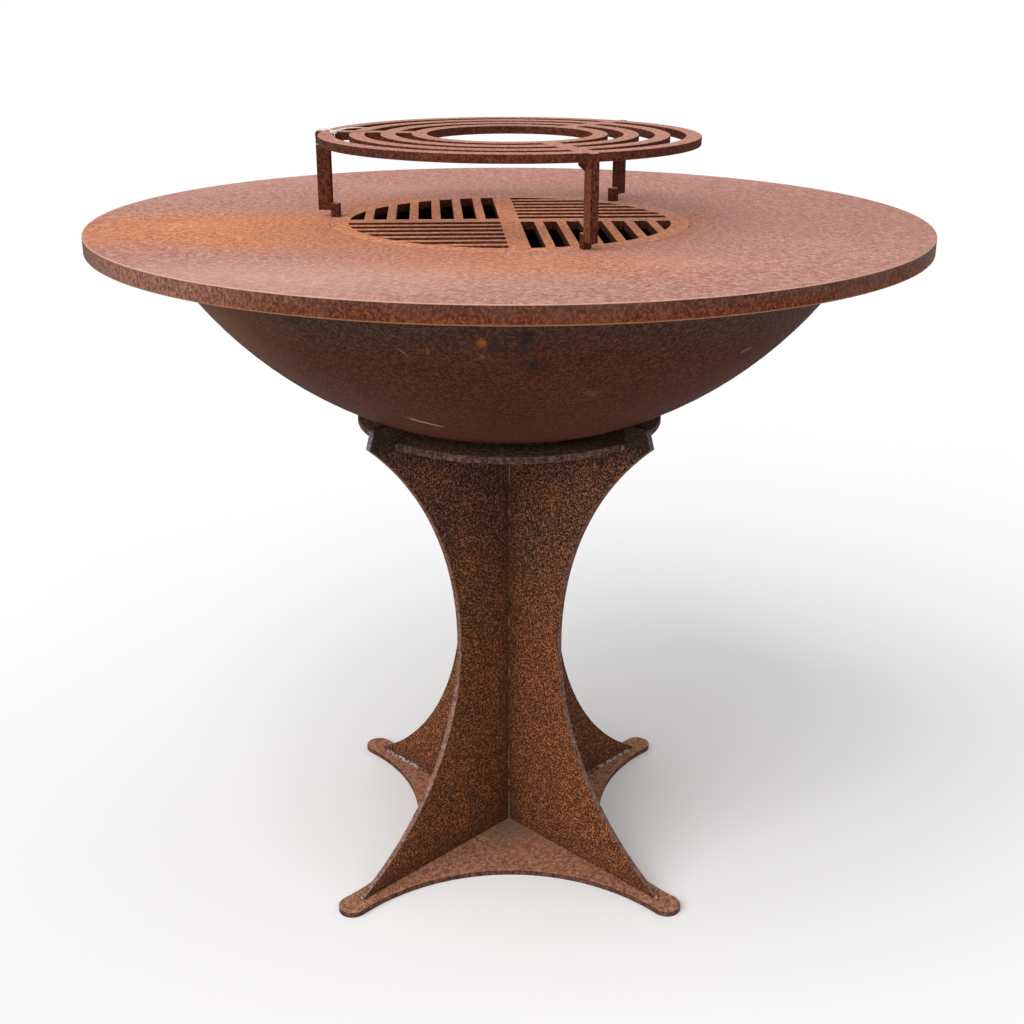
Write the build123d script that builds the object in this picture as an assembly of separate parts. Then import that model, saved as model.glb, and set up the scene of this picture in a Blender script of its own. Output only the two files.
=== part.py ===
from build123d import *
import math
import os

os.makedirs("parts", exist_ok=True)

# Fire pit in weathering steel: a cross-shaped stand on a star base, a shallow bowl, a wide fire plate,
# a slotted grate insert in the plate's hole and a raised cooking ring on three legs.
# Frame: Z up, floor at Z = 0, origin on the common axis, fins on the diagonals, front towards -Y.
# Millimetres.

# ---- driving dimensions ------------------------------------------------------------------------
STAND_T = 8.0               # thickness of every plate in the stand
TIP_REACH = 287.0           # axis to the centre of each rounded tip of the base star
TIP_ROUND = 18.5            # radius of a rounded tip
STAR_ARC_OFFSET = 383.0     # axis to the centre of each concave side of the star

WAIST_R = 93.0              # reach of a fin at its narrowest
WAIST_Z = 318.0
UPPER_ARC = 380.0           # radius of the fin's edge above the waist
LOWER_ARC = 354.0           # radius of the fin's edge below the waist
FIN_TOE = 3.0               # blunt height of the fin's toe on the base
RING_Z = 606.0              # underside of the support ring, which lies on the fins
RING_OUT_R = 193.0
RING_IN_R = 145.0
HORN_FOOT_Z = 614.0         # lower corner of the horn that rises outside the ring
HORN_TOP_Z = 638.0
HORN_TOP_R = 227.0
HORN_GAP = 1.0              # ring edge to horn, and fin to bowl
WELD = 3.5                  # leg of a fillet weld
CENTRE_WELD = 1.5           # leg of the fine seams where the fins meet

BOWL_R = 479.0              # radius of the bowl's outer sphere
BOWL_T = 4.0
BOWL_RIM_R = 418.0          # outer radius at the rim

PLATE_R = 500.0
PLATE_T = 20.0
PLATE_DISH = 4.0            # fall of the plate from its edge to the hole
PLATE_CHAMFER = 1.0
HOLE_R = 217.9
LUG_R = 391.0               # outer face of the lugs that keep the plate centred in the bowl
LUG_T = 6.0
LUG_W = 40.0
LUG_H = 24.0

INSERT_R = 217.5
INSERT_T = 10.0
INSERT_TURN = 3.0           # degrees, as it lies in the plate
SEAT_IN_R = 200.0           # inner radius of the ring that carries the insert
SEAT_T = 8.0
SLOT_FIELD_R = 195.0        # circle that bounds all slots
SLOTS_PER_QUARTER = 7
SLOT_W = 16.5
SLOT_PITCH = 27.5
CROSS_BAR = 24.0            # width of the bars that part the four quarters

RISE = 102.5                # top of the cooking ring above its feet
COOK_T = 10.0
BAND_W = 18.2               # width of each concentric band
BAND_STEP = 36.8            # from one band's inner edge to the next
BAND_COUNT = 4
FIRST_BAND_R = 98.5         # inner radius of the smallest band
SPOKE_W = 20.0
LEG_ANGLES = {"leg_left": 173.0, "leg_back": 50.0, "leg_front": -68.0}
LEG_T = 10.0
LEG_W = 16.8
LEG_LIP = 8.8               # a leg stands this far outside the largest band
LEG_END = 8.6               # a leg's lower end above the foot of its tab
SHELF_W = 16.0              # ledge under the ring, inward of the leg
SHELF_T = 5.5               # its depth at the tip
SHELF_DROP = 4.5            # how much deeper it is at the leg
TAB_W = 10.6                # foot tab, set inward of the leg
TAB_H = 17.0
TAB_OVERLAP = 1.5
LEG_WELD = 3.0

TIE_ANGLE = 185.0           # where the tie goes round the largest band
TIE_W = 3.6
TIE_T = 1.2
TIE_SLACK = 0.4             # gap between tie and band
TIE_HEAD = (7.0, 5.6, 4.6)
TIE_CORNER = 0.9            # inner corner of the strap's loop
TIE_TAIL_TURN = 45.0        # degrees from the band's inward direction
TIE_TAIL_L = 60.0
TIE_TAIL_RISE = 6.0

REST_GAP = 0.2              # gap where a loose part rests on a curved one
FOOT_GAP = 0.05             # gap under the tabs

# ---- worked-out places -------------------------------------------------------------------------
RING_TOP_Z = RING_Z + STAND_T
BOWL_Z = RING_TOP_Z + REST_GAP + math.sqrt(BOWL_R**2 - RING_IN_R**2)    # centre of the bowl's sphere
RIM_Z = BOWL_Z - math.sqrt(BOWL_R**2 - BOWL_RIM_R**2)
DISH_SLOPE = PLATE_DISH / (PLATE_R - HOLE_R)
PLATE_TOP_Z = RIM_Z + REST_GAP + DISH_SLOPE * (PLATE_R - BOWL_RIM_R) + PLATE_T
LAST_BAND_R = FIRST_BAND_R + BAND_STEP * (BAND_COUNT - 1) + BAND_W
LEG_OUT_R = LAST_BAND_R + LEG_LIP
LEG_IN_R = LEG_OUT_R - LEG_W
TAB_OUT_R = LEG_IN_R + TAB_OVERLAP
TAB_IN_R = TAB_OUT_R - TAB_W


def plate_top(radius):
    """Height of the dished plate's top face."""
    return PLATE_TOP_Z - DISH_SLOPE * (PLATE_R - radius)


INSERT_TOP_Z = plate_top(HOLE_R)
SEAT_Z = INSERT_TOP_Z - INSERT_T - SEAT_T
FOOT_Z = plate_top(TAB_OUT_R) + FOOT_GAP
COOK_TOP_Z = FOOT_Z + RISE
COOK_Z = COOK_TOP_Z - COOK_T


# ---- helpers -----------------------------------------------------------------------------------
def save(name, *solids):
    """Write one node: a single solid, or a group of separate solids."""
    shape = solids[0] if len(solids) == 1 else Compound(list(solids))
    export_step(shape, f"parts/{name}.step")


def disc(radius, height, z):
    return Pos(0, 0, z) * Cylinder(radius, height, align=(Align.CENTER, Align.CENTER, Align.MIN))


def turned(shape, angle):
    return Rot(0, 0, angle) * shape


def upright(lines, thickness):
    """Plate centred on Y = 0, from an outline in the XZ plane."""
    return extrude(make_face(lines), thickness / 2, dir=(0, 1, 0), both=True).solid()


def revolved(lines):
    """Body turned about the Z axis, from an outline in the XZ plane."""
    return revolve(make_face(lines), Axis.Z).solid()


def bead(length, leg):
    """Fillet weld along +X, its square corner on the X axis, filling +Y and +Z."""
    section = make_face(Polyline((0, 0, 0), (0, leg, 0), (0, 0, leg), (0, 0, 0)))
    return extrude(section, length, dir=(1, 0, 0)).solid()


def both_sides(shape):
    """A shape and its mirror image across the XZ plane."""
    return [shape, mirror(shape, Plane.XZ)]


# ---- stand -------------------------------------------------------------------------------------
def base_plate():
    """Four-pointed star: rounded tips on the diagonals, joined by tangent concave arcs."""
    tip = TIP_REACH / math.sqrt(2)
    arc_r = math.hypot(tip, STAR_ARC_OFFSET - tip) - TIP_ROUND
    share = arc_r / (arc_r + TIP_ROUND)
    across = tip * share
    along = STAR_ARC_OFFSET - (STAR_ARC_OFFSET - tip) * share
    point = tip + TIP_ROUND / math.sqrt(2)
    edges = []
    for angle in range(0, 360, 90):
        end = ThreePointArc((along, across), (point, point), (across, along))
        side = ThreePointArc((across, along), (0, STAR_ARC_OFFSET - arc_r), (-across, along))
        edges += [turned(end, angle), turned(side, angle)]
    return extrude(make_face(edges), STAND_T).solid()


def fin_reach(z):
    """Distance of the fin's hourglass edge from the axis."""
    arc = UPPER_ARC if z > WAIST_Z else LOWER_ARC
    return WAIST_R + arc - math.sqrt(arc**2 - (z - WAIST_Z)**2)


def under_bowl(radius):
    """Height just under the bowl's outer face."""
    return BOWL_Z - math.sqrt((BOWL_R + HORN_GAP)**2 - radius**2)


def fin(inner):
    """Half of the cross, from the axis side outwards, in the XZ plane."""
    toe_z = STAND_T + FIN_TOE
    toe = (fin_reach(toe_z), 0, toe_z)
    waist = (WAIST_R, 0, WAIST_Z)
    horn_foot = (fin_reach(HORN_FOOT_Z), 0, HORN_FOOT_Z)
    low_mid = (toe_z + WAIST_Z) / 2
    high_mid = (HORN_FOOT_Z + WAIST_Z) / 2
    horn_in = RING_OUT_R + HORN_GAP
    shoulder = math.sqrt((BOWL_R + HORN_GAP)**2 - (BOWL_Z - HORN_TOP_Z)**2)
    seat_in = math.sqrt((BOWL_R + HORN_GAP)**2 - (BOWL_Z - RING_Z)**2)
    horn_mid = (horn_in + shoulder) / 2
    dip_mid = (inner + seat_in) / 2
    outline = [
        Line((inner, 0, STAND_T), (toe[0], 0, STAND_T)),
        Line((toe[0], 0, STAND_T), toe),
        ThreePointArc(toe, (fin_reach(low_mid), 0, low_mid), waist),
        ThreePointArc(waist, (fin_reach(high_mid), 0, high_mid), horn_foot),
        Line(horn_foot, (HORN_TOP_R, 0, HORN_TOP_Z)),
        Line((HORN_TOP_R, 0, HORN_TOP_Z), (shoulder, 0, HORN_TOP_Z)),
        ThreePointArc(
            (shoulder, 0, HORN_TOP_Z),
            (horn_mid, 0, under_bowl(horn_mid)),
            (horn_in, 0, under_bowl(horn_in)),
        ),
        Line((horn_in, 0, under_bowl(horn_in)), (horn_in, 0, RING_Z)),
        Line((horn_in, 0, RING_Z), (seat_in, 0, RING_Z)),
        ThreePointArc(
            (seat_in, 0, RING_Z),
            (dip_mid, 0, under_bowl(dip_mid)),
            (inner, 0, under_bowl(inner)),
        ),
        Line((inner, 0, under_bowl(inner)), (inner, 0, STAND_T)),
    ]
    return upright(outline, STAND_T)


def support_ring():
    return (disc(RING_OUT_R, STAND_T, RING_Z) - disc(RING_IN_R, STAND_T, RING_Z)).solid()


def fin_angles():
    return [45 + angle for angle in range(0, 360, 90)]


def centre_welds():
    """Upright fillets in the four corners of the cross."""
    corner = STAND_T / 2
    section = make_face(Polyline((0, 0), (CENTRE_WELD, 0), (0, CENTRE_WELD), (0, 0)))
    height = under_bowl(STAND_T) - STAND_T
    upright_bead = (Pos(corner, corner, STAND_T) * extrude(section, height)).solid()
    return [turned(upright_bead, angle) for angle in fin_angles()]


def foot_welds():
    """Fillets along the fins' feet, on the sides that don't face the front bay."""
    start = STAND_T / 2 + WELD
    length = fin_reach(STAND_T + FIN_TOE) - start - STAND_T
    left = Pos(start, STAND_T / 2, STAND_T) * bead(length, WELD)
    right = mirror(left, Plane.XZ)
    front_left, front_right = 225, 315
    beads = []
    for angle in fin_angles():
        if angle != front_left:
            beads.append(turned(left, angle))
        if angle != front_right:
            beads.append(turned(right, angle))
    return beads


def toe_welds():
    """Short fillets across the toe of each fin."""
    toe = Rot(0, 0, -90) * bead(STAND_T, FIN_TOE)
    placed = Pos(fin_reach(STAND_T + FIN_TOE), STAND_T / 2, STAND_T) * toe
    return [turned(placed, angle) for angle in fin_angles()]


def ring_welds():
    """Fillets under the support ring, on both sides of each fin."""
    length = RING_OUT_R - RING_IN_R - 2 * WELD
    under = Pos(RING_IN_R + WELD, STAND_T / 2, RING_Z) * mirror(bead(length, WELD), Plane.XY)
    edge = Pos(RING_OUT_R, STAND_T / 2, RING_Z) * Box(
        2 * WELD, WELD, STAND_T, align=(Align.CENTER, Align.MIN, Align.MIN)
    )
    edge = (edge - disc(RING_OUT_R, STAND_T, RING_Z)).solid()
    return [turned(side, angle) for angle in fin_angles() for piece in (under, edge)
            for side in both_sides(piece)]


# ---- bowl --------------------------------------------------------------------------------------
def bowl_shell():
    """Shallow cap of a sphere with a plain rim."""
    inner_r = BOWL_R - BOWL_T
    rim_in = math.sqrt(inner_r**2 - (BOWL_Z - RIM_Z)**2)
    half = math.asin(BOWL_RIM_R / BOWL_R) / 2
    outer_mid = (BOWL_R * math.sin(half), 0, BOWL_Z - BOWL_R * math.cos(half))
    inner_mid = (inner_r * math.sin(half), 0, BOWL_Z - inner_r * math.cos(half))
    return revolved([
        ThreePointArc((0, 0, BOWL_Z - BOWL_R), outer_mid, (BOWL_RIM_R, 0, RIM_Z)),
        Line((BOWL_RIM_R, 0, RIM_Z), (rim_in, 0, RIM_Z)),
        ThreePointArc((rim_in, 0, RIM_Z), inner_mid, (0, 0, BOWL_Z - inner_r)),
        Line((0, 0, BOWL_Z - inner_r), (0, 0, BOWL_Z - BOWL_R)),
    ])


# ---- fire plate --------------------------------------------------------------------------------
def fire_plate():
    """Thick disc, dished towards its hole so that fat runs to the fire."""
    edge = PLATE_R - PLATE_CHAMFER
    outline = Polyline(
        (HOLE_R, 0, plate_top(HOLE_R)),
        (edge, 0, plate_top(edge)),
        (PLATE_R, 0, PLATE_TOP_Z - PLATE_CHAMFER),
        (PLATE_R, 0, PLATE_TOP_Z - PLATE_T + PLATE_CHAMFER),
        (edge, 0, plate_top(edge) - PLATE_T),
        (HOLE_R, 0, plate_top(HOLE_R) - PLATE_T),
        (HOLE_R, 0, plate_top(HOLE_R)),
    )
    return revolved(outline)


def insert_seat():
    """Flat ring let into the hole, which carries the insert flush with the plate."""
    return (disc(HOLE_R, SEAT_T, SEAT_Z) - disc(SEAT_IN_R, SEAT_T, SEAT_Z)).solid()


def plate_lugs(plate):
    """Flat bars under the plate, just inside the bowl's rim."""
    top = plate_top(LUG_R)
    bar = Pos(LUG_R - LUG_T / 2, 0, top - PLATE_T - LUG_H) * Box(
        LUG_T, LUG_W, LUG_H + LUG_T, align=(Align.CENTER, Align.CENTER, Align.MIN)
    )
    return [turned((bar - plate).solid(), angle) for angle in range(0, 360, 90)]


def plate_welds(plate):
    """Fillets that hold the lugs and the seat under the plate."""
    inner = LUG_R - LUG_T
    root = plate_top(inner) - PLATE_T
    across = Rot(0, 0, 90) * mirror(bead(LUG_W, WELD), Plane.XY)
    lug_bead = (Pos(inner, -LUG_W / 2, root) * across - plate).solid()
    leg = SEAT_Z - (plate_top(HOLE_R) - PLATE_T)
    seat_bead = revolved(Polyline(
        (HOLE_R, 0, SEAT_Z),
        (HOLE_R - leg, 0, SEAT_Z),
        (HOLE_R, 0, SEAT_Z - leg),
        (HOLE_R, 0, SEAT_Z),
    ))
    return [seat_bead] + [turned(lug_bead, angle) for angle in range(0, 360, 90)]


# ---- grate insert ------------------------------------------------------------------------------
def grate_insert():
    """Disc with four quarters of parallel slots, each quarter turned a right angle from the next."""
    quarter = Sketch()
    for row in range(SLOTS_PER_QUARTER):
        x = CROSS_BAR / 2 + row * SLOT_PITCH
        quarter += Pos(-x, CROSS_BAR / 2) * Rectangle(
            SLOT_W, SLOT_FIELD_R, align=(Align.MAX, Align.MIN)
        )
    quarter = quarter & Circle(SLOT_FIELD_R)
    slots = Sketch() + [turned(quarter, angle) for angle in range(0, 360, 90)]
    blank = Circle(INSERT_R) - slots
    plate = Pos(0, 0, INSERT_TOP_Z - INSERT_T) * extrude(blank, INSERT_T)
    return turned(plate, INSERT_TURN).solid()


# ---- raised cooking ring -----------------------------------------------------------------------
def cooking_ring():
    """Concentric bands joined by a spoke at each leg."""
    bands = Sketch()
    for step in range(BAND_COUNT):
        inner = FIRST_BAND_R + step * BAND_STEP
        bands += Circle(inner + BAND_W) - Circle(inner)
    start = FIRST_BAND_R + BAND_W / 2
    length = LAST_BAND_R - BAND_W / 2 - start
    spoke = Pos(start, 0) * Rectangle(length, SPOKE_W, align=(Align.MIN, Align.CENTER))
    for angle in LEG_ANGLES.values():
        bands += turned(spoke, angle)
    return (Pos(0, 0, COOK_Z) * extrude(bands, COOK_T)).solid()


def leg():
    """Flat leg in the XZ plane: lip and ledge for the ring at the top, offset tab at the foot."""
    ledge_in = LEG_IN_R - SHELF_W
    ledge_z = COOK_Z - SHELF_T
    return upright(Polyline(
        (LEG_IN_R, 0, ledge_z - SHELF_DROP),
        (LEG_IN_R, 0, FOOT_Z + TAB_H),
        (TAB_IN_R, 0, FOOT_Z + TAB_H),
        (TAB_IN_R, 0, FOOT_Z),
        (TAB_OUT_R, 0, FOOT_Z),
        (TAB_OUT_R, 0, FOOT_Z + LEG_END),
        (LEG_OUT_R, 0, FOOT_Z + LEG_END),
        (LEG_OUT_R, 0, COOK_TOP_Z),
        (LAST_BAND_R, 0, COOK_TOP_Z),
        (LAST_BAND_R, 0, COOK_Z),
        (ledge_in, 0, COOK_Z),
        (ledge_in, 0, ledge_z),
        (LEG_IN_R, 0, ledge_z - SHELF_DROP),
    ), LEG_T)


def leg_welds():
    """Fillets under the ring, on both sides of each leg."""
    start = LEG_IN_R - SHELF_W + LEG_WELD
    length = LAST_BAND_R - LEG_WELD - start
    under = Pos(start, LEG_T / 2, COOK_Z) * mirror(bead(length, LEG_WELD), Plane.XY)
    return [turned(side, angle) for angle in LEG_ANGLES.values() for side in both_sides(under)]


def cable_tie():
    """Clear tie round the largest band: strap, ratchet head and a tail that lies over the next band."""
    band_mid = LAST_BAND_R - BAND_W / 2
    mid_z = COOK_Z + COOK_T / 2
    inner_w = BAND_W + 2 * TIE_SLACK
    inner_h = COOK_T + 2 * TIE_SLACK
    hole = Pos(band_mid, mid_z) * RectangleRounded(inner_w, inner_h, TIE_CORNER)
    ring = Pos(band_mid, mid_z) * RectangleRounded(
        inner_w + 2 * TIE_T, inner_h + 2 * TIE_T, TIE_CORNER + TIE_T
    )
    loop = extrude(Plane.XZ * (ring - hole), TIE_W / 2, both=True)
    head_x = band_mid - inner_w / 2
    head_z = COOK_TOP_Z + TIE_SLACK
    head = Pos(head_x, 0, head_z) * Box(*TIE_HEAD, align=(Align.CENTER, Align.CENTER, Align.MIN))
    tail_z = head_z + TIE_HEAD[2] / 2
    lift = ThreePointArc(
        (0, 0, 0),
        (-TIE_TAIL_L / 2, 0, TIE_TAIL_RISE / 2),
        (-TIE_TAIL_L, 0, -TIE_TAIL_RISE / 4),
    )
    start = Plane(origin=lift @ 0, z_dir=lift % 0)
    tail = sweep(start * Rectangle(TIE_T, TIE_W), path=lift)
    placed = Pos(head_x, 0, tail_z) * turned(tail, TIE_TAIL_TURN)
    return turned(loop + head + placed, TIE_ANGLE).solid()


# ---- write the nodes ---------------------------------------------------------------------------
def main():
    save("base_plate", base_plate())
    half = fin(0)
    full = (half + turned(half, 180)).solid()
    save("fin_through", turned(full, 45))
    save("fin_front_right", turned(fin(STAND_T / 2), -45))
    save("fin_back_left", turned(fin(STAND_T / 2), 135))
    save("support_ring", support_ring())
    save("centre_welds", *centre_welds())
    save("foot_welds", *foot_welds())
    save("toe_welds", *toe_welds())
    save("ring_welds", *ring_welds())
    save("bowl_shell", bowl_shell())
    plate = fire_plate()
    save("fire_plate", plate)
    save("insert_seat", insert_seat())
    save("plate_lugs", *plate_lugs(plate))
    save("plate_welds", *plate_welds(plate))
    save("grate_insert", grate_insert())
    save("cooking_ring", cooking_ring())
    for name, angle in LEG_ANGLES.items():
        save(name, turned(leg(), angle))
    save("leg_welds", *leg_welds())
    save("cable_tie", cable_tie())
    print(f"bowl rim {RIM_Z:.1f}, plate top {PLATE_TOP_Z:.1f}, ring top {COOK_TOP_Z:.1f}")


main()
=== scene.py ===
import math
import bmesh
import bpy
from mathutils import Matrix, Vector, noise


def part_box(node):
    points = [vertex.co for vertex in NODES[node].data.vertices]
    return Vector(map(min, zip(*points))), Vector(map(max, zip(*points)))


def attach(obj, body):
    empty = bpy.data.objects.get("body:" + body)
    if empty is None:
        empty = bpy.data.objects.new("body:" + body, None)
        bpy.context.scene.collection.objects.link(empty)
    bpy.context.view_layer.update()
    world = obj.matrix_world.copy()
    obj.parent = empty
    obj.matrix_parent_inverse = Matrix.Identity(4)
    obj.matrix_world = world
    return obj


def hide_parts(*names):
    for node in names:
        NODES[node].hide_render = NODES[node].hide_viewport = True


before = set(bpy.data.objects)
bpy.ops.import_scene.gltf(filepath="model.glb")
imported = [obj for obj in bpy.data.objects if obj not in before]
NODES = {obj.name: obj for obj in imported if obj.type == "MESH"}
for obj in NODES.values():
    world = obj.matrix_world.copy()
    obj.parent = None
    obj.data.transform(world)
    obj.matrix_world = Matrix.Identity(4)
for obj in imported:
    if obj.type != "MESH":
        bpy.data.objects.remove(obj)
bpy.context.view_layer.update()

# Fire pit in weathering steel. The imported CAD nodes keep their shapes; this script rounds their edges,
# gives each a rust of its own, and lays real weld beads and the clear tie over their plain solids.
# Metres, Z up, front towards -Y. Colours are linear red, green and blue.

# ---- driving dimensions ------------------------------------------------------------------------
STAND_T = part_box("base_plate")[1][2]        # thickness of the stand's plates
BOWL_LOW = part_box("bowl_shell")[0][2]       # lowest point of the bowl
BOWL_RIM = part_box("bowl_shell")[1][2]       # height of its rim
BOWL_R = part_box("bowl_shell")[1][0]         # outer radius of its rim
PLATE_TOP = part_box("fire_plate")[1][2]      # top of the fire plate
EDGE_ROUND = 0.0007                         # worn radius on cut edges
RIM_ROUND = 0.0004
SEAM_ROUND = 0.0002                         # the insert's edge, which nearly meets the plate

# Marks on the front of the bowl: place to the right, height, half width, half height, strength.
BOWL_SOOT = ((0.0128, 0.801, 0.011, 0.022, 0.85), (0.0196, 0.767, 0.009, 0.013, 0.80),
             (0.0347, 0.768, 0.006, 0.007, 0.70), (-0.010, 0.790, 0.026, 0.009, 0.60),
             (0.010, 0.7715, 0.013, 0.004, 0.60))
BOWL_RUST = ((-0.0293, 0.797, 0.0065, 0.007, 1.0), (-0.0286, 0.780, 0.006, 0.003, 0.5),
             (-0.0827, 0.784, 0.0028, 0.009, 0.5), (-0.0775, 0.669, 0.007, 0.003, 1.0),
             (0.085, 0.727, 0.014, 0.008, 0.25))
# Scratches there: place to the right, height, half length, half width, slope, strength.
BOWL_SCRATCHES = ((-0.092, 0.6735, 0.020, 0.0013, -0.28, 0.85),
                  (-0.108, 0.6795, 0.009, 0.0009, -0.05, 0.40),
                  (-0.1076, 0.782, 0.006, 0.0013, -0.95, 0.28),
                  (0.250, 0.758, 0.007, 0.0012, 0.40, 0.35))
MARK_DEPTH = 0.03                           # how far a mark reaches from front to back


def on_bowl(across, height):
    """Point on the front of the bowl, which is a cap of a sphere."""
    rise = BOWL_RIM - BOWL_LOW
    centre_z = BOWL_LOW + (BOWL_R**2 + rise**2) / (2 * rise)
    sphere_r = centre_z - BOWL_LOW
    forward = math.sqrt(sphere_r**2 - (centre_z - height)**2 - across**2)
    return across, -forward, height


# ---- material graphs ---------------------------------------------------------------------------
class Graph:
    """The node tree of one material, with a short call for each kind of node."""

    def __init__(self, name):
        self.material = bpy.data.materials.new(name)
        self.material.use_nodes = True
        self.nodes = self.material.node_tree.nodes
        self.links = self.material.node_tree.links
        self.shader = self.nodes["Principled BSDF"]
        self.place = self.nodes.new("ShaderNodeTexCoord").outputs["Object"]
        self.normal = self.nodes.new("ShaderNodeNewGeometry").outputs["Normal"]

    def feed(self, socket, value):
        """Link another node's output to a socket, or set it to a constant."""
        if isinstance(value, bpy.types.NodeSocket):
            self.links.new(value, socket)
        else:
            socket.default_value = value

    def maths(self, operation, first, second=0.0):
        made = self.nodes.new("ShaderNodeMath")
        made.operation = operation
        self.feed(made.inputs[0], first)
        self.feed(made.inputs[1], second)
        return made.outputs[0]

    def add(self, first, second):
        return self.maths("ADD", first, second)

    def times(self, first, second):
        return self.maths("MULTIPLY", first, second)

    def most(self, first, second):
        return self.maths("MAXIMUM", first, second)

    def vector(self, operation, first, second=(0, 0, 0)):
        made = self.nodes.new("ShaderNodeVectorMath")
        made.operation = operation
        self.feed(made.inputs[0], first)
        self.feed(made.inputs[1], second)
        return made.outputs["Value" if operation in ("LENGTH", "DOT_PRODUCT") else 0]

    def axes(self, source=None):
        """X, Y and Z of a vector, or of the place on the object."""
        made = self.nodes.new("ShaderNodeSeparateXYZ")
        self.feed(made.inputs[0], source or self.place)
        return made.outputs

    def from_axis(self):
        """Distance from the object's upright axis."""
        return self.vector("LENGTH", self.vector("MULTIPLY", self.place, (1, 1, 0)))

    def noise(self, size, detail=2.0, rough=0.5, stretch=(1, 1, 1)):
        """Cloud noise whose patches are about size metres across, longer where stretch is under 1."""
        made = self.nodes.new("ShaderNodeTexNoise")
        self.feed(made.inputs["Vector"], self.vector("MULTIPLY", self.place, stretch))
        made.inputs["Scale"].default_value = 0.5 / size
        made.inputs["Detail"].default_value = detail
        made.inputs["Roughness"].default_value = rough
        return made.outputs["Fac"]

    def cells(self, size):
        """Distance to the nearest of many points about size metres apart."""
        made = self.nodes.new("ShaderNodeTexVoronoi")
        self.feed(made.inputs["Vector"], self.place)
        made.inputs["Scale"].default_value = 1 / size
        return made.outputs["Distance"]

    def fade(self, value, low, high, at_low=0.0, at_high=1.0):
        """Smooth step from at_low to at_high as value goes from low to high."""
        made = self.nodes.new("ShaderNodeMapRange")
        made.interpolation_type = "SMOOTHSTEP"
        self.feed(made.inputs["Value"], value)
        for name, number in zip(("From Min", "From Max", "To Min", "To Max"), (low, high, at_low, at_high)):
            made.inputs[name].default_value = number
        return made.outputs["Result"]

    def ramp(self, value, places, colours, lit_tone=1.0):
        """Colour ramp with a colour at each of the places, all scaled by lit_tone: above 1 it paints light,
        below 1 it paints shade.
        """
        made = self.nodes.new("ShaderNodeValToRGB")
        line = made.color_ramp
        while len(line.elements) < len(places):
            line.elements.new(0.5)
        for element, place, colour in zip(line.elements, places, colours):
            element.position = place
            element.color = (*(min(1.0, lit_tone * part) for part in colour), 1)
        self.feed(made.inputs[0], value)
        return made.outputs["Color"]

    def mix(self, share, first, second):
        made = self.nodes.new("ShaderNodeMix")
        made.data_type = "RGBA"
        self.feed(made.inputs["Factor"], share)
        for socket, colour in zip((made.inputs[6], made.inputs[7]), (first, second)):
            self.feed(socket, (*colour, 1) if isinstance(colour, tuple) else colour)
        return made.outputs[2]

    def stain(self, centre, reach, soft, ragged, grain):
        """Mask of a ragged spot; reach is its half size along each axis."""
        away = self.vector("SUBTRACT", self.place, centre)
        far = self.vector("LENGTH", self.vector("DIVIDE", away, reach))
        edge = self.times(self.noise(grain, 3, 0.6), 2 * ragged)
        far = self.add(far, self.maths("SUBTRACT", edge, ragged))
        return self.fade(far, 1.0, 1.0 - soft)

    def streak(self, centre, reach_along, reach_across, slope):
        """Mask of a thin slanting line on a surface that faces the front; slope is its rise towards +X."""
        away = self.vector("SUBTRACT", self.place, centre)
        along = self.maths("DIVIDE", self.axes(away)[0], reach_along)
        off = self.maths("DIVIDE", self.vector("DOT_PRODUCT", away, (-slope, 0, 1)), reach_across)
        deep = self.maths("DIVIDE", self.axes(away)[1], 0.1)
        far = self.add(self.maths("POWER", along, 2.0), self.maths("POWER", off, 2.0))
        far = self.add(far, self.maths("POWER", deep, 2.0))
        ragged = self.times(self.noise(0.004, 2), 1.2)
        return self.fade(self.add(far, ragged), 1.6, 1.1)

    def bump(self, height, depth, strength=1.0, under=None):
        """Surface relief depth metres deep, on top of the relief under it."""
        made = self.nodes.new("ShaderNodeBump")
        made.inputs["Distance"].default_value = depth
        made.inputs["Strength"].default_value = strength
        self.feed(made.inputs["Height"], height)
        if under is not None:
            self.feed(made.inputs["Normal"], under)
        return made.outputs["Normal"]

    def finish(self, colour, roughness, normal, specular):
        self.feed(self.shader.inputs["Base Color"], colour)
        self.feed(self.shader.inputs["Roughness"], roughness)
        if normal is not None:
            self.feed(self.shader.inputs["Normal"], normal)
        self.shader.inputs["Specular IOR Level"].default_value = specular
        return self.material


# ---- rust ---------------------------------------------------------------------------------------
# Places of the dark, middle and light grains in a colour ramp.
SOFT = (0.38, 0.50, 0.62)
PLATE = (0.39, 0.50, 0.61)
COARSE = (0.39, 0.49, 0.60)
CLOSE = (0.40, 0.50, 0.60)

PALE_MAUVE = ((0.29, 0.120, 0.092), (0.44, 0.208, 0.167), (0.62, 0.35, 0.300))
ORANGE = ((0.39, 0.108, 0.038), (0.59, 0.201, 0.078), (0.80, 0.342, 0.152))
UPRIGHT = (0, 0, 1)
DIAGONAL = math.sqrt(0.5)       # both parts of a level direction halfway between X and Y


def flatness(graph, axis):
    """1 on faces square to the axis, 0 on faces along it."""
    return graph.maths("ABSOLUTE", graph.vector("DOT_PRODUCT", graph.normal, axis))


def edge_wear_and_highlight(graph, flat):
    """Mask of the rounded edges between flat faces and cut faces, which the materials paint lighter: partly
    rubbed steel, partly a painted highlight.
    """
    rising = graph.fade(flat, 0.12, 0.45)
    falling = graph.fade(flat, 0.80, 0.985, 1.0, 0.0)
    return graph.times(rising, falling)


def speckle(graph, size):
    """Even grain of rust, centred on 0.5, from a fine and a twice as coarse noise."""
    fine = graph.noise(size, 2.0, 0.7)
    coarse = graph.noise(2.3 * size, 1.0, 0.5)
    return graph.add(graph.times(fine, 0.62), graph.times(coarse, 0.38))


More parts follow.
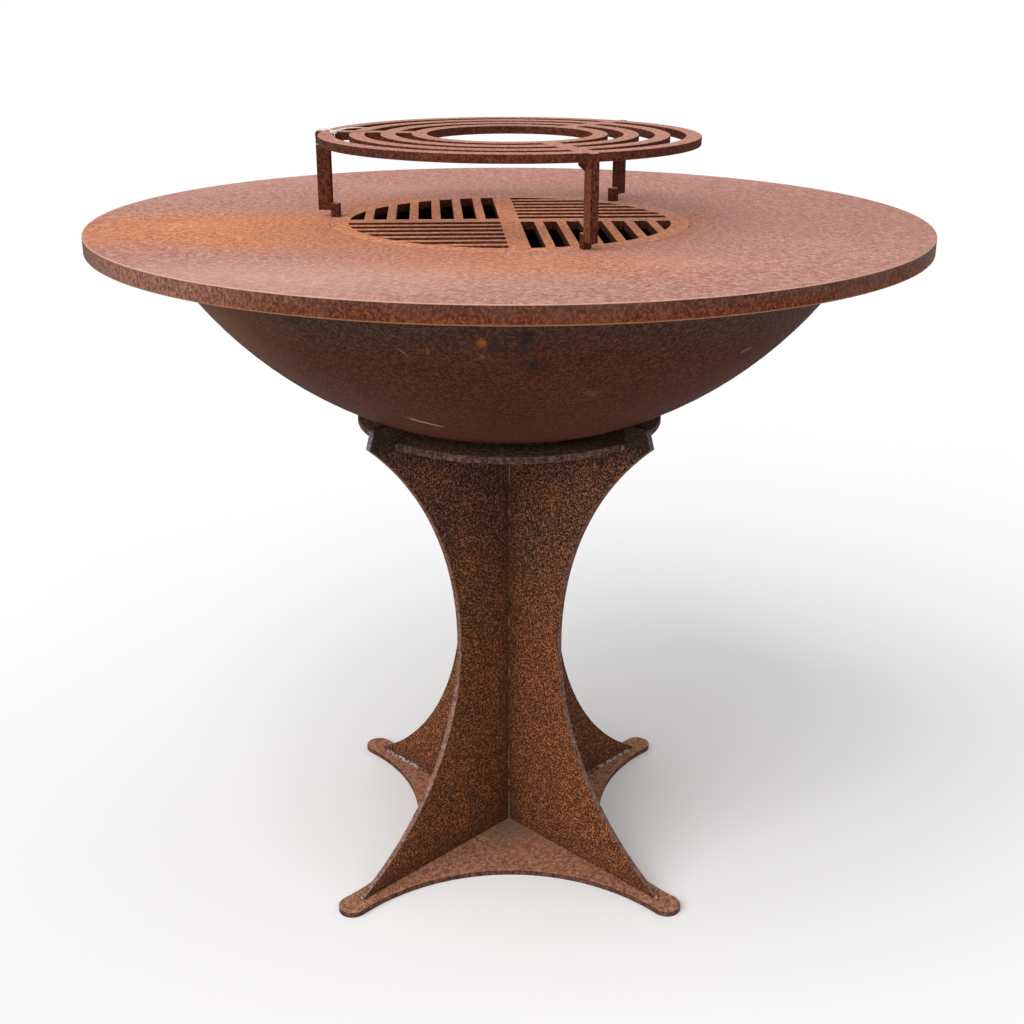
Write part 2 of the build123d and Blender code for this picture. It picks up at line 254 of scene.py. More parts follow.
def plate_warmth(g, cloud):
    """Mask of the orange areas: at the left, round the hole and in front of it."""
    left = g.stain((-0.32, -0.09, PLATE_TOP), (0.33, 0.22, 0.3), 0.7, 0.22, 0.12)
    near = g.stain((0.00, -0.29, PLATE_TOP), (0.36, 0.14, 0.3), 0.9, 0.3, 0.08)
    round_hole = g.stain((-0.02, -0.02, PLATE_TOP), (0.29, 0.28, 0.3), 0.35, 0.2, 0.06)
    warm = g.most(left, g.times(near, 0.6))
    warm = g.most(warm, g.times(round_hole, 0.8))
    return g.times(warm, g.fade(cloud, 0.28, 0.58, 0.7, 1.0))


def plate_top(g, grain, dust, cloud, lit_tone):
    """Mauve rust with orange areas, paler at the left front, where a painted sheen lies, and duller at the
    right.
    """
    mauve = g.ramp(grain, PLATE, PALE_MAUVE, lit_tone)
    orange = g.ramp(grain, PLATE, ORANGE, lit_tone)
    top = g.mix(plate_warmth(g, cloud), mauve, orange)
    # Painted sheen: the stain at the left front makes the top paler there; the cloud adds paler patches of
    # rust at random.
    pale = g.stain((-0.22, -0.38, PLATE_TOP), (0.38, 0.135, 0.3), 0.9, 0.3, 0.05)
    pale = g.most(g.times(pale, 0.42), g.fade(cloud, 0.46, 0.74, 0.0, 0.22))
    top = g.mix(pale, top, (0.70, 0.44, 0.37))
    dull = g.stain((0.46, 0.04, PLATE_TOP), (0.30, 0.34, 0.3), 0.9, 0.3, 0.08)
    top = g.mix(g.times(dull, 0.28), top, (0.30, 0.140, 0.115))
    top = g.mix(g.fade(dust, 0.50, 0.68, 0.0, 0.30), top, (0.70, 0.30, 0.14))
    return g.mix(g.fade(dust, 0.48, 0.32, 0.0, 0.22), top, (0.40, 0.20, 0.18))


def plate_rim(g, rise):
    """Cut edge: dark above, orange below, pinkish at the left front, with a bright line at its foot."""
    bits = g.times(g.noise(0.0009, 2, 0.65), 0.55)
    bits = g.add(bits, g.times(g.noise(0.0016, 1, 0.5, (1, 1, 0.75)), 0.45))
    blot = g.noise(0.011, 3, 0.6, (1, 1, 0.6))
    upper = g.ramp(bits, SOFT, ((0.038, 0.012, 0.007), (0.083, 0.025, 0.015), (0.16, 0.054, 0.032)))
    lower = g.ramp(bits, SOFT, ((0.045, 0.008, 0.002), (0.100, 0.020, 0.005), (0.21, 0.056, 0.016)))
    level = g.add(rise, g.times(blot, 0.012))
    rim = g.mix(g.fade(level, PLATE_TOP - 0.001, PLATE_TOP - 0.007), upper, lower)
    rim = g.mix(g.fade(g.noise(0.02, 3), 0.50, 0.66, 0.0, 0.4), rim, (0.12, 0.045, 0.028))
    pink = g.ramp(bits, (0.40, 0.60), ((0.092, 0.034, 0.020), (0.29, 0.130, 0.086)))
    rim = g.mix(g.stain((-0.36, -0.33, 0.85), (0.30, 0.24, 0.1), 0.9, 0.2, 0.03), rim, pink)
    return g.mix(g.fade(rise, PLATE_TOP - 0.0178, PLATE_TOP - 0.0192, 0.0, 0.6), rim, (0.34, 0.13, 0.05))


def plate_steel(name, lit_tone):
    """Fire plate and insert: pale rust, orange to mauve, with a darker rim, and a lighter rounded top edge
    that is partly rubbed steel and partly a painted highlight.
    """
    g = Graph(name)
    grain = speckle(g, 0.0013)
    dust = g.noise(0.0045, 2, 0.5)
    cloud = g.noise(0.09, 4, 0.6)
    rise = g.axes()[2]
    upward = g.axes(g.normal)[2]
    flat_face = g.most(g.fade(upward, 0.45, 0.9), g.fade(upward, -0.97, -0.995))
    colour = g.mix(flat_face, plate_rim(g, rise), plate_top(g, grain, dust, cloud, lit_tone))
    # Lighter rounded top edge: partly rubbed steel, partly a painted highlight.
    near_top = g.fade(rise, PLATE_TOP - 0.012, PLATE_TOP - 0.004, 0.1, 0.6)
    wear_and_highlight = g.times(edge_wear_and_highlight(g, flatness(g, UPRIGHT)), near_top)
    colour = g.mix(wear_and_highlight, colour, (0.60, 0.37, 0.30))
    normal = g.bump(grain, 0.0004)
    normal = g.bump(dust, 0.0008, 0.5, normal)
    normal = g.bump(g.noise(0.12, 2), 0.003, 0.25, normal)
    return g.finish(colour, g.fade(cloud, 0.35, 0.65, 0.60, 0.72), normal, 0.15)


def fin_face(g, grain, patch, rise, lit_tone):
    """Coarse grains: orange low down, darker and greyer higher up, in brighter and dimmer patches."""
    low = ((0.032, 0.010, 0.005), (0.112, 0.035, 0.0130), (0.30, 0.108, 0.038))
    high = ((0.015, 0.007, 0.005), (0.068, 0.027, 0.0155), (0.24, 0.100, 0.052))
    bright = ((0.040, 0.011, 0.004), (0.150, 0.045, 0.014), (0.42, 0.150, 0.050))
    dim = ((0.012, 0.007, 0.006), (0.045, 0.025, 0.020), (0.150, 0.085, 0.065))
    low = g.ramp(grain, COARSE, low, lit_tone)
    high = g.ramp(grain, COARSE, high, lit_tone)
    colour = g.mix(g.fade(rise, 0.40, 0.68), low, high)
    colour = g.mix(g.fade(patch, 0.52, 0.68, 0.0, 0.40), colour, g.ramp(grain, COARSE, bright))
    return g.mix(g.fade(patch, 0.46, 0.32, 0.0, 0.45), colour, g.ramp(grain, COARSE, dim))


def fin_painted_shade(g, colour, patch, height):
    """Painted shade: darker rust colour in the corner of the cross, at the foot, and near black beside the
    horns under the bowl.
    """
    # Painted shade in the inner corner where the fins meet.
    corner = g.fade(g.add(g.from_axis(), g.times(patch, 0.03)), 0.045, 0.012)
    colour = g.mix(g.times(corner, 0.55), colour, (0.050, 0.017, 0.008))
    # Painted shade along the foot, where the fins meet the base.
    foot = g.fade(g.add(height, g.times(patch, 0.05)), 0.085, 0.03)
    colour = g.mix(g.times(foot, 0.35), colour, (0.060, 0.026, 0.018))
    # Painted shade under the bowl, beside the horns.
    under_bowl_shade = g.fade(g.add(height, g.times(patch, 0.03)), 0.590, 0.640)
    return g.mix(g.times(under_bowl_shade, 0.80), colour, (0.020, 0.012, 0.010))


def fin_edge(g, rise, height, lit_tone):
    """Cut edge: mauve low down, brown higher up, blue-grey on the horns, and painted shade, near black, on
    the horns' tops under the bowl.
    """
    grain = speckle(g, 0.0012)
    cut = g.ramp(grain, SOFT, ((0.09, 0.040, 0.029), (0.205, 0.103, 0.079), (0.34, 0.20, 0.162)), lit_tone)
    upper = g.ramp(grain, SOFT, ((0.045, 0.018, 0.011), (0.115, 0.050, 0.033), (0.22, 0.11, 0.078)))
    cut = g.mix(g.fade(rise, 0.30, 0.62, 0.0, 0.9), cut, upper)
    horn = ((0.060, 0.045, 0.045), (0.18, 0.160, 0.170), (0.29, 0.275, 0.295))
    # The horns take lit_tone squared, so the right fins' horns get deeper painted shade.
    cut = g.mix(g.fade(height, 0.608, 0.614), cut, g.ramp(grain, SOFT, horn, lit_tone**2))
    # Painted shade on the horns' tops, under the bowl.
    return g.mix(g.fade(height, 0.634, 0.636), cut, (0.050, 0.034, 0.030))


def stand_steel(name, axis, lit_tone, edge_lit_tone):
    """Fins: coarse orange and black grains, darker and greyer at the top, with mauve cut edges; lit_tone
    and edge_lit_tone make lit and shaded copies of it, which is painted light and shade.
    """
    g = Graph(name)
    spots = g.fade(g.cells(0.0022), 0.25, 0.85)
    grain = g.add(g.times(speckle(g, 0.0007), 0.75), g.times(spots, 0.22))
    cloud = g.noise(0.07, 3, 0.6)
    patch = g.noise(0.022, 3, 0.6)
    height = g.axes()[2]
    rise = g.add(height, g.times(cloud, 0.30))
    colour = fin_painted_shade(g, fin_face(g, grain, patch, rise, lit_tone), patch, height)
    cut = fin_edge(g, rise, height, edge_lit_tone)
    colour = g.mix(g.fade(flatness(g, axis), 0.85, 0.5), colour, cut)
    normal = g.bump(grain, 0.0007, 0.8)
    normal = g.bump(patch, 0.0010, 0.4, normal)
    return g.finish(colour, g.fade(cloud, 0.3, 0.7, 0.78, 0.9), normal, 0.14)


def base_steel():
    """Star base: smoother, lighter brown, greyish in the front corner, with a darker cut edge."""
    g = Graph("base_rust")
    grain = speckle(g, 0.0011)
    cloud = g.noise(0.05, 4, 0.6)
    colour = g.ramp(grain, SOFT, ((0.14, 0.056, 0.030), (0.305, 0.135, 0.077), (0.47, 0.25, 0.160)))
    colour = g.mix(g.fade(cloud, 0.48, 0.68, 0.0, 0.40), colour, (0.37, 0.140, 0.060))
    grey = g.stain((0.0, -0.02, STAND_T), (0.06, 0.075, 0.1), 0.8, 0.3, 0.02)
    colour = g.mix(g.times(grey, 0.6), colour, (0.155, 0.125, 0.092))
    cut = g.ramp(grain, SOFT, ((0.032, 0.012, 0.007), (0.086, 0.034, 0.023), (0.19, 0.085, 0.058)))
    flat = flatness(g, UPRIGHT)
    colour = g.mix(g.fade(flat, 0.8, 0.4), colour, cut)
    # Lighter rounded edges: partly rubbed steel, partly a painted highlight.
    colour = g.mix(g.times(edge_wear_and_highlight(g, flat), 0.3), colour, (0.30, 0.15, 0.10))
    return g.finish(colour, g.fade(cloud, 0.3, 0.7, 0.70, 0.84), g.bump(grain, 0.0004, 0.8), 0.16)


def ring_steel():
    """Support ring: greyish speckle on its edge, browner rust above."""
    g = Graph("ring_rust")
    grain = speckle(g, 0.0012)
    side = g.ramp(grain, SOFT, ((0.022, 0.011, 0.008), (0.070, 0.036, 0.025), (0.170, 0.096, 0.068)))
    top = g.ramp(grain, SOFT, ((0.047, 0.026, 0.017), (0.135, 0.073, 0.046), (0.270, 0.157, 0.100)))
    flat = flatness(g, UPRIGHT)
    colour = g.mix(g.fade(flat, 0.4, 0.8), side, top)
    # Lighter rounded edges: partly rubbed steel, partly a painted highlight.
    colour = g.mix(g.times(edge_wear_and_highlight(g, flat), 0.3), colour, (0.20, 0.13, 0.10))
    return g.finish(colour, 0.85, g.bump(grain, 0.0006, 0.8), 0.12)


def bowl_skin(g, grain, cloud, smoke):
    """Dark smooth rust, grey-green under the plate, redder low down, and painted light that makes it
    lighter at the left.
    """
    height = g.axes()[2]
    rise = g.add(height, g.times(cloud, 0.09))
    colour = g.ramp(grain, CLOSE, ((0.027, 0.007, 0.003), (0.049, 0.0130, 0.0053), (0.094, 0.030, 0.014)))
    grey = g.ramp(grain, CLOSE, ((0.026, 0.013, 0.008), (0.044, 0.024, 0.015), (0.083, 0.049, 0.034)))
    colour = g.mix(g.fade(rise, BOWL_RIM - 0.035, BOWL_RIM + 0.030, 0.0, 0.85), colour, grey)
    colour = g.mix(g.fade(height, 0.76, 0.62, 0.0, 0.5), colour, (0.068, 0.0155, 0.0045))
    colour = g.mix(g.fade(cloud, 0.54, 0.72, 0.0, 0.40), colour, (0.031, 0.014, 0.009))
    colour = g.mix(g.fade(smoke, 0.56, 0.70, 0.0, 0.30), colour, (0.080, 0.024, 0.008))
    # Painted light on the bowl's left front, the side facing the key light.
    side = g.stain((-0.38, -0.22, 0.78), (0.22, 0.25, 0.12), 0.9, 0.3, 0.04)
    return g.mix(g.times(side, 0.85), colour, (0.115, 0.043, 0.019))


def bowl_marks(g, colour):
    """Soot, scratches, spots of fresh rust and small pale specks."""
    for across, height, half_wide, half_high, strength in BOWL_SOOT:
        spot = g.stain(on_bowl(across, height), (half_wide, MARK_DEPTH, half_high), 0.9, 1.5, 0.007)
        colour = g.mix(g.times(spot, strength), colour, (0.016, 0.0095, 0.0078))
    for across, height, half_long, half_wide, slope, strength in BOWL_SCRATCHES:
        line = g.streak(on_bowl(across, height), half_long, half_wide, slope)
        colour = g.mix(g.times(line, strength), colour, (0.36, 0.24, 0.17))
    for across, height, half_wide, half_high, strength in BOWL_RUST:
        spot = g.stain(on_bowl(across, height), (half_wide, MARK_DEPTH, half_high), 0.8, 1.2, 0.0035)
        colour = g.mix(g.times(spot, strength), colour, (0.22, 0.070, 0.017))
    speck = g.fade(g.cells(0.016), 0.070, 0.035, 0.0, 0.40)
    return g.mix(speck, colour, (0.20, 0.13, 0.10))


def bowl_steel():
    """Bowl: marked rust outside, soot inside."""
    g = Graph("bowl_rust")
    grain = speckle(g, 0.0009)
    cloud = g.noise(0.08, 4, 0.6)
    smoke = g.noise(0.02, 3, 0.6)
    colour = bowl_marks(g, bowl_skin(g, grain, cloud, smoke))
    from_centre = g.vector("SUBTRACT", g.place, (0, 0, BOWL_RIM + 0.2))
    outward = g.vector("DOT_PRODUCT", g.normal, from_centre)
    burnt = g.ramp(smoke, (0.35, 0.65), ((0.012, 0.010, 0.009), (0.042, 0.026, 0.019)))
    colour = g.mix(g.fade(outward, 0.0, -0.1, 0.0, 0.85), colour, burnt)
    normal = g.bump(grain, 0.0003, 0.6)
    normal = g.bump(g.noise(0.07, 2), 0.002, 0.3, normal)
    return g.finish(colour, g.fade(cloud, 0.3, 0.7, 0.70, 0.84), normal, 0.07)


def grill_side(g, grain, blot):
    """Cut edges of the ring and legs: dark red-brown, with painted light on the faces by the front leg that
    turn to the left, towards the key light.
    """
    side = g.ramp(grain, SOFT, ((0.030, 0.007, 0.0035), (0.074, 0.0185, 0.009), (0.16, 0.048, 0.026)))
    side = g.mix(g.fade(blot, 0.52, 0.66, 0.0, 0.40), side, (0.135, 0.038, 0.015))
    side = g.mix(g.fade(blot, 0.46, 0.34, 0.0, 0.28), side, (0.040, 0.013, 0.010))
    # Painted light: faces by the front leg that turn to the left are made lighter.
    by_front_leg = g.stain((0.08, -0.22, 0.90), (0.03, 0.03, 0.05), 0.4, 0.1, 0.01)
    facing_left = g.fade(g.axes(g.normal)[0], -0.5, -0.9, 0.0, 0.75)
    lit_left_face = g.ramp(grain, SOFT, ((0.10, 0.032, 0.014), (0.17, 0.058, 0.027), (0.27, 0.105, 0.055)))
    return g.mix(g.times(by_front_leg, facing_left), side, lit_left_face)


def grill_steel():
    """Cooking ring and legs: pinkish tan on top, dark red-brown on the cut sides."""
    g = Graph("grill_rust")
    grain = speckle(g, 0.0009)
    blot = g.noise(0.012, 3, 0.6)
    top = g.ramp(grain, SOFT, ((0.28, 0.108, 0.075), (0.46, 0.212, 0.158), (0.64, 0.36, 0.285)))
    colour = g.mix(g.fade(g.axes(g.normal)[2], 0.4, 0.9), grill_side(g, grain, blot), top)
    # Lighter rounded edges: partly rubbed steel, partly a painted highlight.
    wear_and_highlight = g.times(edge_wear_and_highlight(g, flatness(g, UPRIGHT)), 0.30)
    colour = g.mix(wear_and_highlight, colour, (0.40, 0.22, 0.165))
    normal = g.bump(grain, 0.0004, 0.8)
    normal = g.bump(blot, 0.0008, 0.4, normal)
    return g.finish(colour, g.fade(blot, 0.3, 0.7, 0.70, 0.84), normal, 0.12)


def weld_steel():
    """Weld metal: rust-brown with grey crests, dark in the cross's corners, bright at the fins' toes."""
    g = Graph("weld_rust")
    grain = speckle(g, 0.0012)
    blot = g.noise(0.010, 3, 0.6)
    colour = g.ramp(grain, SOFT, ((0.050, 0.020, 0.012), (0.125, 0.052, 0.030), (0.26, 0.135, 0.092)))
    colour = g.mix(g.fade(blot, 0.55, 0.66, 0.0, 0.60), colour, (0.22, 0.150, 0.115))
    from_axis = g.from_axis()
    height = g.axes()[2]
    seam = ((0.024, 0.008, 0.003), (0.085, 0.030, 0.012), (0.25, 0.115, 0.055))
    seam = g.ramp(blot, (0.40, 0.52, 0.66), seam)
    seam = g.mix(g.fade(height, 0.055, 0.030, 0.0, 0.6), seam, (0.23, 0.185, 0.165))
    colour = g.mix(g.fade(from_axis, 0.020, 0.012, 0.0, 0.9), colour, seam)
    toe = g.times(g.fade(from_axis, 0.185, 0.195), g.fade(height, 0.030, 0.015))
    colour = g.mix(g.times(toe, g.fade(grain, 0.46, 0.54)), colour, (0.42, 0.36, 0.33))
    return g.finish(colour, g.fade(blot, 0.4, 0.6, 0.8, 0.65), g.bump(grain, 0.0003, 0.8), 0.12)


def soot():
    """Seat, lugs and their welds, under the plate: blackened rust."""
    g = Graph("sooty_rust")
    cloud = g.noise(0.03, 4, 0.6)
    black = ((0.010, 0.008, 0.007), (0.030, 0.018, 0.013), (0.080, 0.035, 0.020))
    colour = g.ramp(cloud, (0.35, 0.55, 0.75), black)
    return g.finish(colour, 0.85, g.bump(cloud, 0.001, 0.6), 0.2)


def nylon():
    """Clear tie: glossy, milky, see-through plastic."""
    g = Graph("milky_nylon")
    cloud = g.noise(0.004, 2)
    colour = g.ramp(cloud, (0.35, 0.65), ((0.82, 0.85, 0.89), (0.95, 0.96, 0.98)))
    g.shader.inputs["Transmission Weight"].default_value = 0.12
    g.shader.inputs["IOR"].default_value = 1.53
    g.shader.inputs["Coat Weight"].default_value = 0.5
    return g.finish(colour, g.fade(cloud, 0.3, 0.7, 0.14, 0.26), g.bump(cloud, 0.0002, 0.4), 0.5)


# ---- CAD nodes ----------------------------------------------------------------------------------
def dress(node, material, rounding=EDGE_ROUND):
    """Give a CAD node its material, and round its sharp edges."""
    piece = NODES[node]
    for slot in piece.material_slots:
        slot.material = material
    joined = piece.modifiers.new("joined", "WELD")
    joined.merge_threshold = 1e-5
    merged = piece.modifiers.new("merged", "DECIMATE")
    merged.decimate_type = "DISSOLVE"
    merged.angle_limit = math.radians(0.2)
    edges = piece.modifiers.new("edges", "BEVEL")
    edges.width = rounding
    edges.segments = 2
    edges.limit_method = "ANGLE"
    edges.angle_limit = math.radians(35)
    shading = piece.modifiers.new("shading", "WEIGHTED_NORMAL")
    shading.keep_sharp = False
    shading.weight = 100


# ---- weld beads ----------------------------------------------------------------------------------
BEAD_STEP = 0.00055          # length of one ring of a bead's mesh
RIPPLE = 0.0022              # distance between the crests along a bead
SINK = 0.00015               # how deep a bead lies in the steel
CREST_STEPS = 6              # steps from one leg of a bead to the other, over its crest
SAME_PLACE = 2e-6


def shells(node):
    """Corner points of each separate solid of a CAD node."""
    work = bmesh.new()
    work.from_mesh(NODES[node].data)
    bmesh.ops.remove_doubles(work, verts=work.verts, dist=1e-6)
    work.verts.index_update()
    work.faces.index_update()
    seen = set()
    found = []
    for start in work.faces:
        if start.index in seen:
            continue
        seen.add(start.index)
        pending = [start]
        corners = {}
        while pending:
            face = pending.pop()
            corners.update((vert.index, vert.co.copy()) for vert in face.verts)
            beside = [other for edge in face.edges for other in edge.link_faces]
            touching = [other for other in beside if other.index not in seen]
            seen.update(other.index for other in touching)
            pending.extend(touching)
        found.append([corners[index] for index in sorted(corners)])
    work.free()
    return found


def prism(points):
    """Corner, both legs and run of a three-sided weld solid."""
    for first in points:
        for second in points:
            run = second - first
            near = [p for p in points if any((p + run - q).length < SAME_PLACE for q in points)]
            if run.length > 1e-4 and len(near) == 3:
                turns = []
                for corner in near:
                    legs = [p - corner for p in near if p is not corner]
                    turns.append((abs(legs[0].normalized().dot(legs[1].normalized())), corner, legs))
                squarest = min(turns, key=lambda turn: turn[0])
                return squarest[1], squarest[2], run
    raise ValueError("a weld solid isn't three-sided")


def bead(work, points, seed):
    """Lay one closed bead in the corner between two plates, with crescent ripples and rounded ends.

    Its rings are a little uneven in size, and their crest is halfway between a chord and a full arc.
    """
    corner, (first, second), run = prism(points)
    along = run.normalized()
    root = corner - (first.normalized() + second.normalized()) * SINK
    rings = max(8, round(run.length / BEAD_STEP))
    before = None
    for ring in range(rings + 1):
        at = run.length * ring / rings
        to_end = min(at, run.length - at) / (1.2 * first.length)
        size = 0.35 + 0.62 * math.sqrt(min(1.0, to_end))
        size *= 1.0 + 0.10 * noise.noise(Vector((at * 90, seed * 7.3, 0.0)))
        loop = [work.verts.new(root + along * at)]
        for step in range(CREST_STEPS + 1):
            share = step / CREST_STEPS
            crest = math.sin(math.pi * share)
            chord = first * (1 - share) + second * share
            arc = first * math.cos(share * math.pi / 2) + second * math.sin(share * math.pi / 2)
            wave = 1.0 + 0.07 * crest * math.sin(2 * math.pi * at / RIPPLE + 2.0 * crest)
            loop.append(work.verts.new(root + along * at + (chord * 0.45 + arc * 0.55) * size * wave))
        if before is None:
            work.faces.new(loop)
        else:
            for index in range(len(loop)):
                after = (index + 1) % len(loop)
                work.faces.new((before[index], before[after], loop[after], loop[index]))
        before = loop
    work.faces.new(reversed(before))


def lump(work, points, seed):
    """Turn a many-sided weld pad into a rounded, uneven lump of the same size."""
    pad = bmesh.new()
    corners = [pad.verts.new(point) for point in points]
    bmesh.ops.convex_hull(pad, input=corners)
    bmesh.ops.subdivide_edges(pad, edges=pad.edges, cuts=2, use_grid_fill=True)
    bmesh.ops.triangulate(pad, faces=pad.faces)
    every_way = {"use_axis_x": True, "use_axis_y": True, "use_axis_z": True}
    bmesh.ops.smooth_vert(pad, verts=pad.verts, factor=0.5, **every_way)
    pad.normal_update()
    moved = []
    for vert in pad.verts:
        swell = noise.noise(vert.co * 420 + Vector((seed, 0, 0)))
        moved.append(vert.co + vert.normal * 0.0004 * swell)
    made = {vert: work.verts.new(place) for vert, place in zip(pad.verts, moved)}
    for face in pad.faces:
        work.faces.new([made[vert] for vert in face.verts])
    pad.free()


def shown(name, work, material, body, node):
    """Make the work mesh a smooth piece that rides on a body and stands for a CAD node."""
    bmesh.ops.recalc_face_normals(work, faces=work.faces)
    mesh = bpy.data.meshes.new(name)
    work.to_mesh(mesh)
    work.free()
    mesh.polygons.foreach_set("use_smooth", [True] * len(mesh.polygons))
    mesh.materials.append(material)
    piece = bpy.data.objects.new(name, mesh)
    bpy.context.scene.collection.objects.link(piece)
    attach(piece, body)
    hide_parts(node)


def lay_welds(node, name, body, material):
    """Beads for the three-sided solids of a weld node, lumps for its pads."""
    work = bmesh.new()
    for seed, points in enumerate(shells(node)):
        if len(points) == 6:
            bead(work, points, seed)
        else:
            lump(work, points, seed)
    shown(name, work, material, body, node)


# ---- cable tie -----------------------------------------------------------------------------------
STRAP_HALF_W = 0.0023        # half the width of the strap
STRAP_HALF_T = 0.0006        # half its thickness
STRAP_OUTLINE = ((-1, -0.5), (-0.8, -1), (0.8, -1), (1, -0.5), (1, 0.5), (0.8, 1), (-0.8, 1), (-1, 0.5))
VALLEY = 0.78                # thickness of the strap between two teeth, of its full thickness
STRAP_STEP = 0.0006          # half the pitch of the strap's teeth
TIE_TURN = 5.0               # degrees from -X towards the front


def smooth_path(points, closed):
    """Even points along a Catmull-Rom curve through the given ones."""
    count = len(points)
    path = []
    for index in range(count if closed else count - 1):
        if closed:
            a, b, c, d = (points[(index + shift) % count] for shift in (-1, 0, 1, 2))
        else:
            a, b, c, d = (points[min(max(index + shift, 0), count - 1)] for shift in (-1, 0, 1, 2))
        steps = max(2, round((c - b).length / STRAP_STEP))
        for step in range(steps):
            t = step / steps
            straight = 2 * b + (c - a) * t
            bent = (2 * a - 5 * b + 4 * c - d) * t**2 + (3 * b - a - 3 * c + d) * t**3
            path.append((straight + bent) / 2)
    if not closed:
        path.append(points[-1])
    return path


def strap(work, path, closed, side):
    """Sweep the toothed strap along a path; side is the direction of its width."""
    count = len(path)
    loops = []
    for index, point in enumerate(path):
        ahead = path[(index + 1) % count if closed else min(index + 1, count - 1)]
        behind = path[index - 1 if closed else max(index - 1, 0)]
        up = side.cross(ahead - behind).normalized()
        wide = side * STRAP_HALF_W
        thick = up * STRAP_HALF_T * (1.0 if index % 2 else VALLEY)
        loops.append([work.verts.new(point + wide * w + thick * t) for w, t in STRAP_OUTLINE])
    for index in range(count if closed else count - 1):
        here, there = loops[index], loops[(index + 1) % count]
        for corner in range(len(STRAP_OUTLINE)):
            after = (corner + 1) % len(STRAP_OUTLINE)
            work.faces.new((here[corner], here[after], there[after], there[corner]))
    if not closed:
        work.faces.new(loops[0])
        work.faces.new(reversed(loops[-1]))


def tie_loop(work, band_r, under, over):
    """Loop of the tie round the outer band of the ring, on its -X side."""
    section = ((band_r - 0.0190, under - 0.0009), (band_r + 0.0008, under - 0.0009),
               (band_r + 0.0024, under + 0.0050), (band_r + 0.0022, over + 0.0034),
               (band_r - 0.0070, over + 0.0064), (band_r - 0.0183, over + 0.0034),
               (band_r - 0.0198, under + 0.0050))
    loop = [Vector((-out, 0, height)) for out, height in section]
    strap(work, smooth_path(loop, True), True, Vector((0, 1, 0)))


def tie_tail(work, start):
    """Tail of the tie: it runs inwards and back from its head, over the next band."""
    inward = Vector((0.707, 0.707, 0))
    rises = ((0, 0), (0.008, 0.0012), (0.022, 0.0026), (0.038, 0.0022), (0.052, 0.0008), (0.060, -0.0006))
    tail = [start + inward * far + Vector((0, 0, rise)) for far, rise in rises]
    strap(work, smooth_path(tail, False), False, Vector((-0.707, 0.707, 0)))


def tie_head(work, middle):
    """Head of the tie: a small block with rounded edges."""
    head = bmesh.ops.create_cube(work, size=1.0)["verts"]
    turn = Matrix.Rotation(math.radians(20), 3, "Z") @ Matrix.Rotation(math.radians(8), 3, "Y")
    for vert in head:
        vert.co = middle + turn @ Vector((vert.co.x * 0.0070, vert.co.y * 0.0054, vert.co.z * 0.0040))
    edges = list({edge for vert in head for edge in vert.link_edges})
    bmesh.ops.bevel(work, geom=edges, offset=0.0008, segments=2, profile=0.5, affect="EDGES")


def tie_the_leg(material):
    """Cable tie round the outer band of the ring beside the left leg; its tail lies in across the bands."""
    low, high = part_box("cooking_ring")
    work = bmesh.new()
    tie_loop(work, high[0], low[2], high[2])
    start = Vector((0.0185 - high[0], 0.0004, high[2] + 0.0029))
    tie_tail(work, start)
    tie_head(work, start)
    bmesh.ops.rotate(work, verts=work.verts, matrix=Matrix.Rotation(math.radians(TIE_TURN), 3, "Z"))
    shown("tie", work, material, "grill", "cable_tie")


# ---- camera, light and floor ---------------------------------------------------------------------
CAMERA_AT = (-0.0106, -1.6882, 1.1143)
CAMERA_DOWN = 0.3624         # radians below the horizon
CAMERA_TURN = 0.0084         # radians towards +X
CAMERA_ROLL = 0.0020
FOCAL_LENGTH = 48.2555       # millimetres, on a sensor 36 mm wide
SENSOR_WIDTH = 36.0
AMBIENT = 0.42               # strength of the white surroundings as a light


def make_camera():
    """Camera at standing height in front of the fire pit, looking down on it a little."""
    data = bpy.data.cameras.new("camera")
    data.sensor_width = SENSOR_WIDTH
    data.lens = FOCAL_LENGTH
    data.clip_end = 50.0
    camera = bpy.data.objects.new("camera", data)
    turn = Matrix.Rotation(-CAMERA_TURN, 3, "Z")
    tilt = Matrix.Rotation(math.pi / 2 - CAMERA_DOWN, 3, "X")
    roll = Matrix.Rotation(CAMERA_ROLL, 3, "Z")
    camera.matrix_world = Matrix.Translation(CAMERA_AT) @ (turn @ tilt @ roll).to_4x4()
    bpy.context.scene.collection.objects.link(camera)
    bpy.context.scene.camera = camera


def skylight(name, towards, strength, spread):
    """Large soft light from far away, so that the floor is evenly lit to the horizon."""
    data = bpy.data.lights.new(name, "SUN")
    data.energy = strength
    data.angle = math.radians(spread)
    lamp = bpy.data.objects.new(name, data)
    lamp.rotation_euler = Vector(towards).to_track_quat("Z", "Y").to_euler()
    bpy.context.scene.collection.objects.link(lamp)


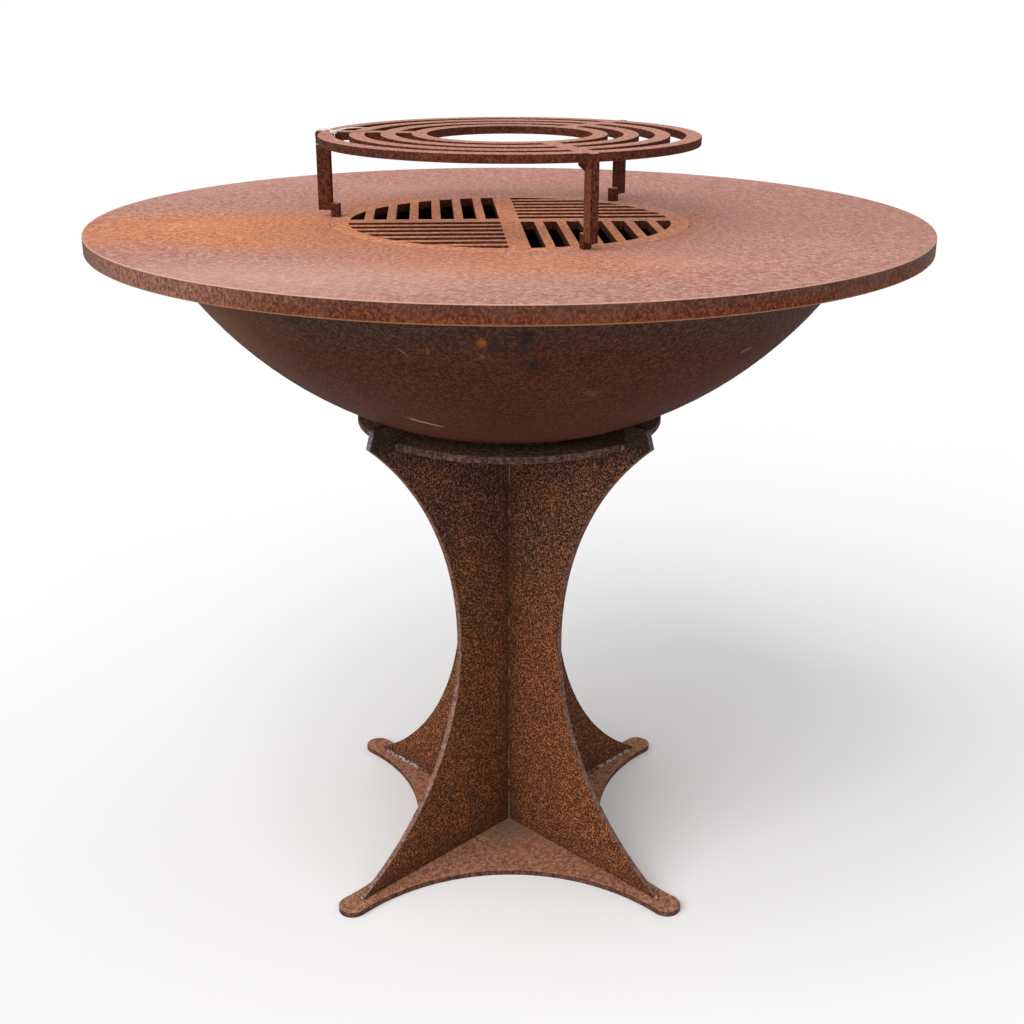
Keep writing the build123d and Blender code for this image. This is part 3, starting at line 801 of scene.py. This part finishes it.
def make_floor():
    """Plain pale floor to the horizon."""
    mesh = bpy.data.meshes.new("floor")
    reach = 30.0
    corners = [(-reach, -reach, 0), (reach, -reach, 0), (reach, reach, 0), (-reach, reach, 0)]
    mesh.from_pydata(corners, [], [(0, 1, 2, 3)])
    floor = bpy.data.objects.new("floor", mesh)
    g = Graph("pale_floor")
    cloud = g.noise(0.8, 2)
    colour = g.ramp(cloud, (0.3, 0.7), ((0.86, 0.86, 0.86), (0.88, 0.88, 0.88)))
    mesh.materials.append(g.finish(colour, 0.9, None, 0.1))
    bpy.context.scene.collection.objects.link(floor)


def make_world():
    """White surroundings that light the object less than they show."""
    world = bpy.data.worlds.new("studio")
    world.use_nodes = True
    back = world.node_tree.nodes["Background"]
    back.inputs["Color"].default_value = (1.0, 1.0, 1.0, 1)
    seen = world.node_tree.nodes.new("ShaderNodeLightPath").outputs["Is Camera Ray"]
    strength = world.node_tree.nodes.new("ShaderNodeMapRange")
    world.node_tree.links.new(seen, strength.inputs["Value"])
    strength.inputs["To Min"].default_value = AMBIENT
    strength.inputs["To Max"].default_value = 1.0
    world.node_tree.links.new(strength.outputs["Result"], back.inputs["Strength"])
    bpy.context.scene.world = world
    bpy.context.scene.view_settings.view_transform = "Standard"


def dress_stand():
    # Lit and shaded copies of one rust: fin_through's faces are painted darker, the other two fins' faces
    # painted lighter, with painted shade on those two fins' cut edges and horns.
    left = stand_steel("fin_rust_left", (-DIAGONAL, DIAGONAL, 0), 0.95, 1.0)
    right = stand_steel("fin_rust_right", (DIAGONAL, DIAGONAL, 0), 1.12, 0.75)
    dress("fin_through", left)
    dress("fin_front_right", right)
    dress("fin_back_left", right)
    dress("base_plate", base_steel())
    dress("support_ring", ring_steel())


def dress_bowl_and_plate():
    dress("bowl_shell", bowl_steel())
    dress("fire_plate", plate_steel("plate_rust", 1.0), RIM_ROUND)
    # The insert's rust is the plate's made 1.20 times lighter: painted light that offsets the ring's shadow
    # on it.
    dress("grate_insert", plate_steel("insert_rust", 1.20), SEAM_ROUND)
    dark = soot()
    for node in ("insert_seat", "plate_lugs", "plate_welds"):
        dress(node, dark)


def dress_grill():
    grill = grill_steel()
    for node in ("cooking_ring", "leg_left", "leg_back", "leg_front"):
        dress(node, grill)


def lay_all_welds():
    weld = weld_steel()
    for place in ("centre", "foot", "toe", "ring"):
        lay_welds(place + "_welds", place + "_beads", "stand", weld)
    lay_welds("leg_welds", "leg_beads", "grill", weld)


def main():
    make_camera()
    make_floor()
    make_world()
    skylight("key", (-0.50, -0.55, 0.70), 2.75, 70)
    skylight("fill", (0.5, -0.3, 0.9), 0.6, 90)

    dress_stand()
    dress_bowl_and_plate()
    dress_grill()
    lay_all_welds()
    tie_the_leg(nylon())


main()
